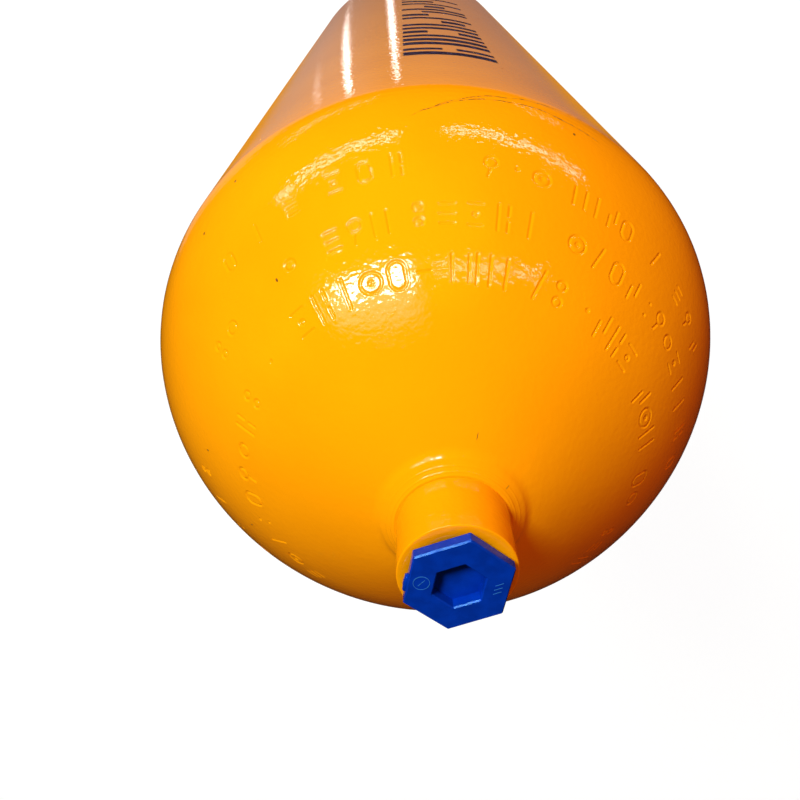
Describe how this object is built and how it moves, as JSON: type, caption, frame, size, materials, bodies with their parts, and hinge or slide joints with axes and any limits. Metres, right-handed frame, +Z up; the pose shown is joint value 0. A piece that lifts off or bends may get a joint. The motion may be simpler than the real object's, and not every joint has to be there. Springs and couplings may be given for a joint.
{
  "type": "gas cylinder",
  "caption": "Tall seamless steel gas cylinder with a domed shoulder, short threaded neck, hollow base and a screwed-in hexagon-socket transport plug.",
  "frame": {"origin": "centre of the flat ring that the cylinder stands on", "axes": "+Z up along the cylinder's axis, towards the neck; +X and +Y are across it"},
  "size_m": [0.279, 0.279, 1.0068],
  "materials": {
    "amber_paint": "glossy amber paint with a light orange-peel texture",
    "pale_blue_plastic": "soft polyethylene",
    "blue_plastic": "moulded plastic, half gloss"
  },
  "bodies": {
    "cylinder": {"cylinder_shell": "amber_paint"},
    "washer": {"sealing_washer": "pale_blue_plastic"},
    "plug": {"transport_plug": "blue_plastic"}
  },
  "joints": [
    {"name": "plug_turn", "type": "hinge", "parent": "cylinder", "child": "washer", "pos_m": [0, 0, 1], "axis": [0, 0, 1], "range_deg": [0, 4320]},
    {"name": "plug_lift", "type": "slide", "parent": "washer", "child": "plug", "axis": [0, 0, 1], "range_m": [0, 0.024]}
  ],
  "couplings": [
    {"joint": "plug_lift", "follows": "plug_turn", "m_per_rad": 0.00031831}
  ]
}
